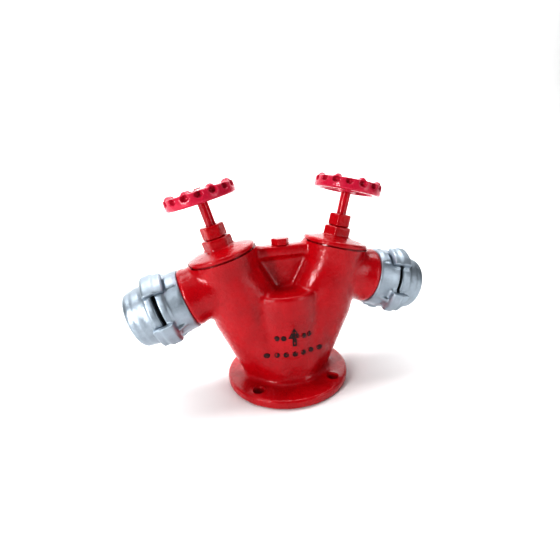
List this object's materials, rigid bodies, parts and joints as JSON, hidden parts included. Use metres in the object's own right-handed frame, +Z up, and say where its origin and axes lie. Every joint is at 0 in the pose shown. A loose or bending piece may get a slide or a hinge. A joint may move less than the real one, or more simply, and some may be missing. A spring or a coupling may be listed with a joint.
{
  "type": "twin-outlet hydrant head",
  "caption": "Flanged cast-iron hydrant head with leaning screw-down valves, handwheels, a tie bar and drooping claw-coupling outlets closed by twist-off caps",
  "frame": {"origin": "centre of the flange's underside", "axes": "+X to the right outlet, -Y to the front, +Z up along the riser"},
  "size_m": [0.505, 0.216, 0.3486],
  "materials": {
    "red_enamel": "glossy red enamel over sand-cast iron, orange-peel texture",
    "wheel_enamel": "glossy red enamel on cast handwheels",
    "stem_paint": "red paint over turned steel, rubbed at the edges",
    "cast_aluminium": "shot-blasted cast aluminium, satin",
    "zinc": "bright zinc plate",
    "bronze": "machined bronze",
    "black_rubber": "matt black rubber",
    "painted_gasket": "fibre gasket, painted over with the casting",
    "packing_fibre": "graphite packing fibre"
  },
  "bodies": {
    "casting": {"body": "red_enamel", "bar_plug": "red_enamel", "left_seat_ring": "bronze", "left_bonnet": "red_enamel", "left_bonnet_gasket": "painted_gasket", "left_packing": "packing_fibre", "left_gland_bush": "bronze", "left_gland_nut": "red_enamel", "left_thread_seal": "black_rubber", "left_outlet_coupling": "cast_aluminium", "left_coupling_seal": "black_rubber", "right_seat_ring": "bronze", "right_bonnet": "red_enamel", "right_bonnet_gasket": "painted_gasket", "right_packing": "packing_fibre", "right_gland_bush": "bronze", "right_gland_nut": "red_enamel", "right_thread_seal": "black_rubber", "right_outlet_coupling": "cast_aluminium", "right_coupling_seal": "black_rubber"},
    "left_valve": {"left_disc_holder": "bronze", "left_seal_disc": "black_rubber", "left_seal_nut": "bronze", "left_stem_retainer": "bronze"},
    "left_spindle": {"left_stem": "stem_paint", "left_handwheel": "wheel_enamel", "left_wheel_nut": "zinc"},
    "left_closure": {"left_blank_cap": "cast_aluminium", "left_cap_seal": "black_rubber"},
    "right_valve": {"right_disc_holder": "bronze", "right_seal_disc": "black_rubber", "right_seal_nut": "bronze", "right_stem_retainer": "bronze"},
    "right_spindle": {"right_stem": "stem_paint", "right_handwheel": "wheel_enamel", "right_wheel_nut": "zinc"},
    "right_closure": {"right_blank_cap": "cast_aluminium", "right_cap_seal": "black_rubber"}
  },
  "joints": [
    {"name": "left_valve_lift", "type": "slide", "parent": "casting", "child": "left_valve", "axis": [-0.2453, 0, 0.9694], "range_m": [0, 0.02]},
    {"name": "left_wheel_turn", "type": "hinge", "parent": "left_valve", "child": "left_spindle", "pos_m": [-0.097, 0, 0.238], "axis": [-0.2453, 0, 0.9694], "range_deg": [0, 1800]},
    {"name": "left_cap_turn", "type": "hinge", "parent": "casting", "child": "left_closure", "pos_m": [-0.08481, 0, 0.18982], "axis": [-0.9537, 0, -0.3007], "range_deg": [0, 45]},
    {"name": "right_valve_lift", "type": "slide", "parent": "casting", "child": "right_valve", "axis": [0.2453, 0, 0.9694], "range_m": [0, 0.02]},
    {"name": "right_wheel_turn", "type": "hinge", "parent": "right_valve", "child": "right_spindle", "pos_m": [0.097, 0, 0.238], "axis": [0.2453, 0, 0.9694], "range_deg": [0, 1800]},
    {"name": "right_cap_turn", "type": "hinge", "parent": "casting", "child": "right_closure", "pos_m": [0.08481, 0, 0.18982], "axis": [0.9537, 0, -0.3007], "range_deg": [0, 45]}
  ],
  "couplings": [
    {"joint": "left_valve_lift", "follows": "left_wheel_turn", "m_per_rad": 0.00063662},
    {"joint": "right_valve_lift", "follows": "right_wheel_turn", "m_per_rad": 0.00063662}
  ]
}
